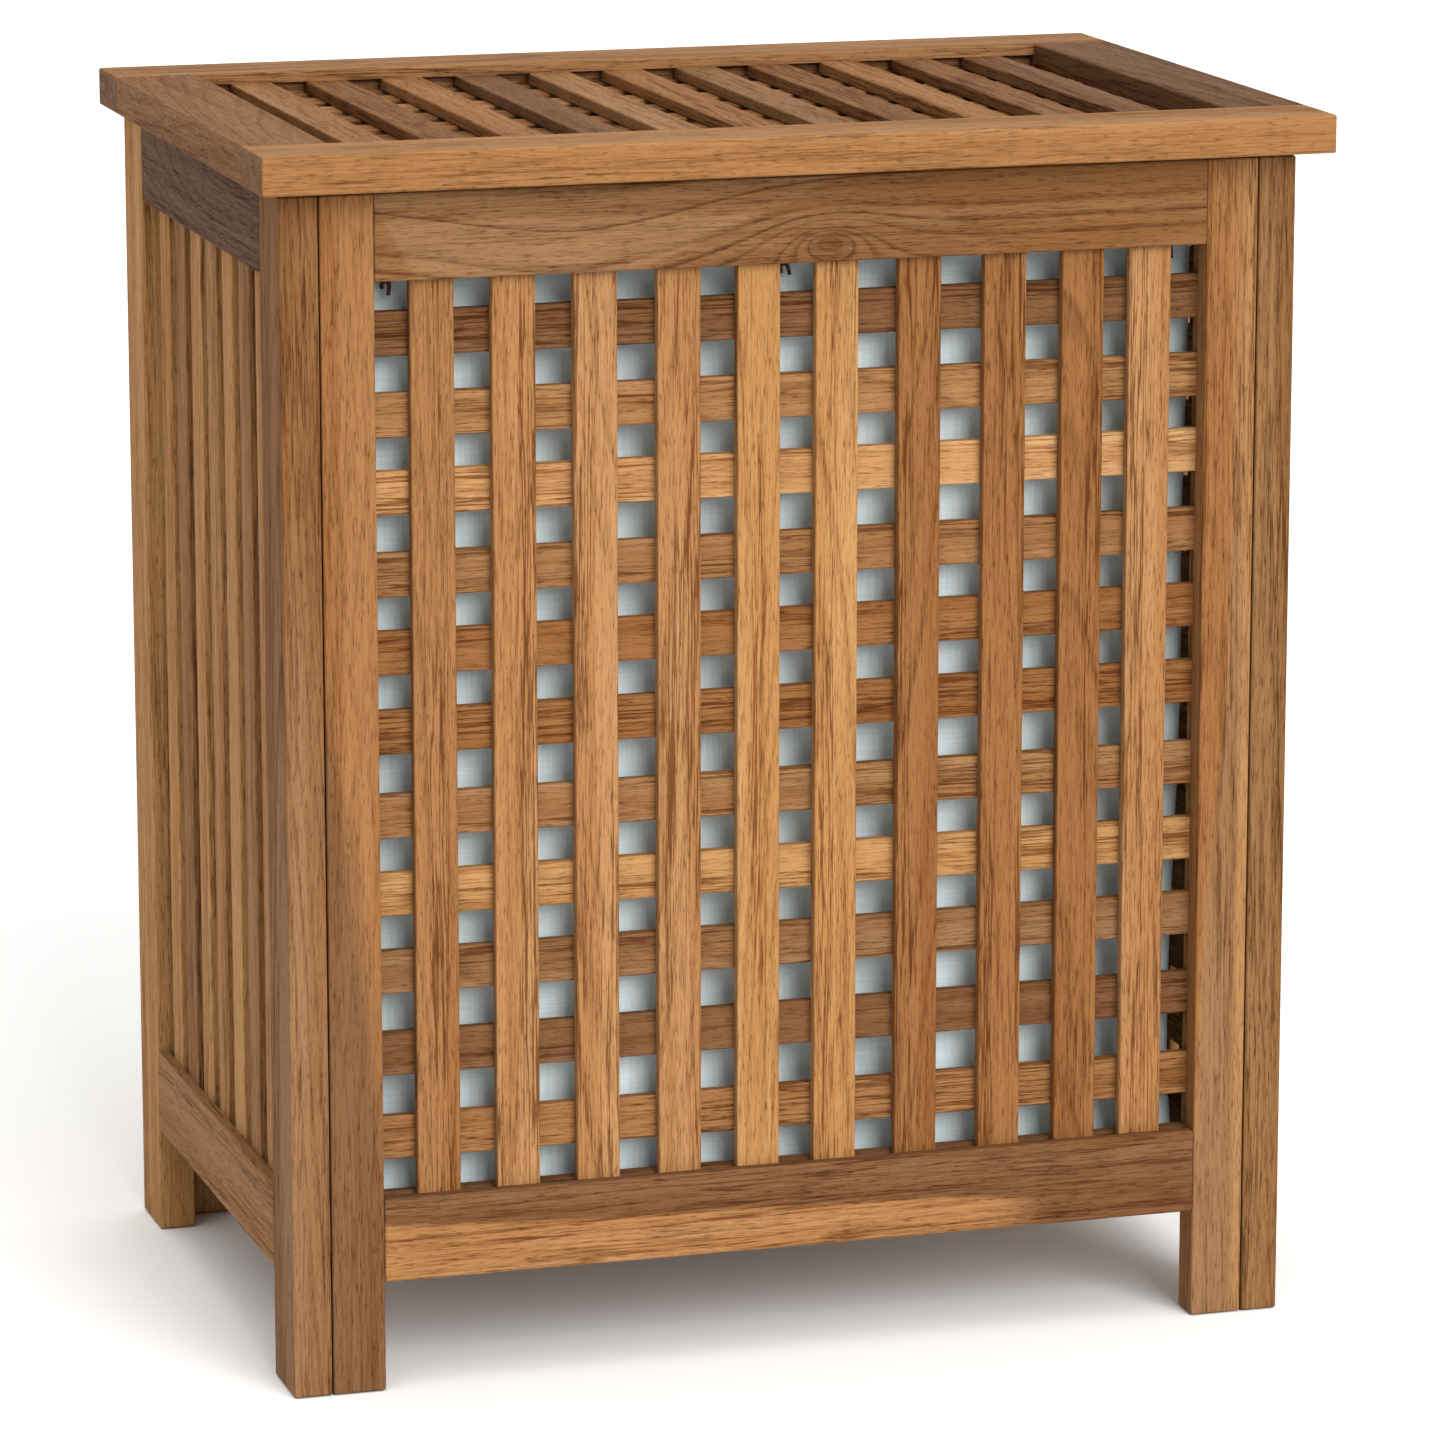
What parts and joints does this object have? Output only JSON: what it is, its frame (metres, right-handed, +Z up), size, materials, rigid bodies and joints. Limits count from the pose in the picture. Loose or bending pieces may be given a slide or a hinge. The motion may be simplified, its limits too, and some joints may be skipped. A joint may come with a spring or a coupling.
{
  "type": "laundry hamper",
  "caption": "Free-standing oiled teak laundry hamper with lattice walls, a lattice lid hinged along the back and a cloth bag hung inside.",
  "frame": {"origin": "on the floor, under the middle of the hamper's overall box", "axes": "+Z up, +X to the right seen from the front, the front faces -Y and the hinges are at +Y"},
  "size_m": [0.51, 0.352, 0.58],
  "materials": {
    "teak": "oiled, satin, fine open pores, strong colour variation from board to board",
    "bag_cotton": "plain-woven unbleached cotton",
    "tie_cord": "dark brown cotton cord, knotted",
    "eye_brass": "dull brass-plated wire",
    "hinge_brass": "satin brass",
    "screw_steel": "zinc-plated",
    "bumper_rubber": "dark, matt"
  },
  "bodies": {
    "body": {"bag_eyes": "eye_brass", "bag_ties": "tie_cord", "base_board_screws": "screw_steel", "base_boards": "teak", "body_hinge_screws": "hinge_brass", "cleat_screws": "screw_steel", "corner_dowels": "teak", "front_base_cleat": "teak", "front_bottom_rail": "teak", "front_cross_slats": "teak", "front_left_stile": "teak", "front_right_stile": "teak", "front_top_rail": "teak", "front_upright_slats": "teak", "left_bottom_rail": "teak", "left_cross_slats": "teak", "left_front_stile": "teak", "left_hinge_body_leaf": "hinge_brass", "left_hinge_pin": "hinge_brass", "left_rear_stile": "teak", "left_top_rail": "teak", "left_upright_slats": "teak", "lid_bumpers": "bumper_rubber", "liner_bag": "bag_cotton", "rear_base_cleat": "teak", "rear_bottom_rail": "teak", "rear_cross_slats": "teak", "rear_left_stile": "teak", "rear_right_stile": "teak", "rear_top_rail": "teak", "rear_upright_slats": "teak", "right_bottom_rail": "teak", "right_cross_slats": "teak", "right_front_stile": "teak", "right_hinge_body_leaf": "hinge_brass", "right_hinge_pin": "hinge_brass", "right_rear_stile": "teak", "right_top_rail": "teak", "right_upright_slats": "teak"},
    "lid": {"lid_front_rail": "teak", "lid_hinge_screws": "hinge_brass", "lid_left_stile": "teak", "lid_lower_slats": "teak", "lid_rear_rail": "teak", "lid_right_stile": "teak", "lid_upper_slats": "teak", "left_hinge_lid_leaf": "hinge_brass", "right_hinge_lid_leaf": "hinge_brass"}
  },
  "joints": [
    {"name": "lid_hinge", "type": "hinge", "parent": "body", "child": "lid", "pos_m": [0, 0.173, 0.5605], "axis": [-1, 0, 0], "range_deg": [0, 180]}
  ]
}
